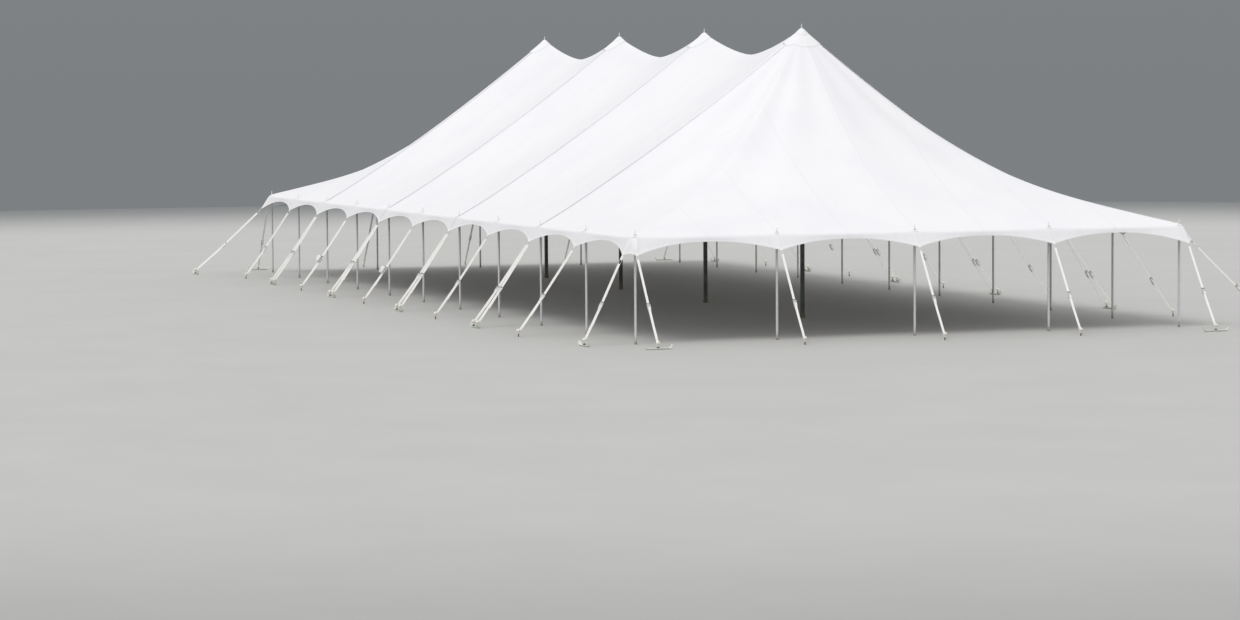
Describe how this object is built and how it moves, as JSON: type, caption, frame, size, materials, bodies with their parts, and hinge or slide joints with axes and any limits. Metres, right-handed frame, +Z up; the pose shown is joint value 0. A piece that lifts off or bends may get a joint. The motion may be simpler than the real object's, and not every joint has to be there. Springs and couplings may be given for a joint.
{
  "type": "pole tent",
  "caption": "High-peak pole tent with a white laced canopy on centre and perimeter poles, scalloped hem band, ratchet guy straps and ground stakes, open on all sides",
  "frame": {"origin": "on the ground under the middle of the tent, at the bottom centre of its bounding box", "axes": "X runs along the tent with the front end at +X, Y runs across it with the right side at +Y, Z is up"},
  "size_m": [33.53, 16.662, 6.51],
  "materials": {
    "canopy_cloth": "white coated polyester cloth, satin",
    "hem_and_webbing": "white coated cloth with woven webbing, metal ratchets and stakes",
    "side_pole_metal": "dull galvanised steel tube",
    "centre_pole_paint": "dark green-grey paint, worn"
  },
  "bodies": {
    "root": {"pole_left_0": "side_pole_metal", "pole_left_1": "side_pole_metal", "pole_left_2": "side_pole_metal", "pole_left_3": "side_pole_metal", "pole_left_4": "side_pole_metal", "pole_left_5": "side_pole_metal", "pole_left_6": "side_pole_metal", "pole_left_7": "side_pole_metal", "pole_left_8": "side_pole_metal", "pole_left_9": "side_pole_metal", "pole_left_10": "side_pole_metal", "pole_right_0": "side_pole_metal", "pole_right_1": "side_pole_metal", "pole_right_2": "side_pole_metal", "pole_right_3": "side_pole_metal", "pole_right_4": "side_pole_metal", "pole_right_5": "side_pole_metal", "pole_right_6": "side_pole_metal", "pole_right_7": "side_pole_metal", "pole_right_8": "side_pole_metal", "pole_right_9": "side_pole_metal", "pole_right_10": "side_pole_metal", "pole_front_1": "side_pole_metal", "pole_front_2": "side_pole_metal", "pole_front_3": "side_pole_metal", "pole_back_1": "side_pole_metal", "pole_back_2": "side_pole_metal", "pole_back_3": "side_pole_metal", "centre_pole_1": "centre_pole_paint", "centre_pole_2": "centre_pole_paint", "centre_pole_3": "centre_pole_paint", "centre_pole_4": "centre_pole_paint", "roof_front": "canopy_cloth", "roof_middle_1": "canopy_cloth", "roof_middle_2": "canopy_cloth", "roof_middle_3": "canopy_cloth", "roof_back": "canopy_cloth", "guyed_edge_front": "hem_and_webbing", "guyed_edge_front_left": "hem_and_webbing", "guyed_edge_front_right": "hem_and_webbing", "guyed_edge_back": "hem_and_webbing", "guyed_edge_back_left": "hem_and_webbing", "guyed_edge_back_right": "hem_and_webbing", "guyed_edge_1_left": "hem_and_webbing", "guyed_edge_1_right": "hem_and_webbing", "guyed_edge_2_left": "hem_and_webbing", "guyed_edge_2_right": "hem_and_webbing", "guyed_edge_3_left": "hem_and_webbing", "guyed_edge_3_right": "hem_and_webbing"}
  },
  "joints": []
}
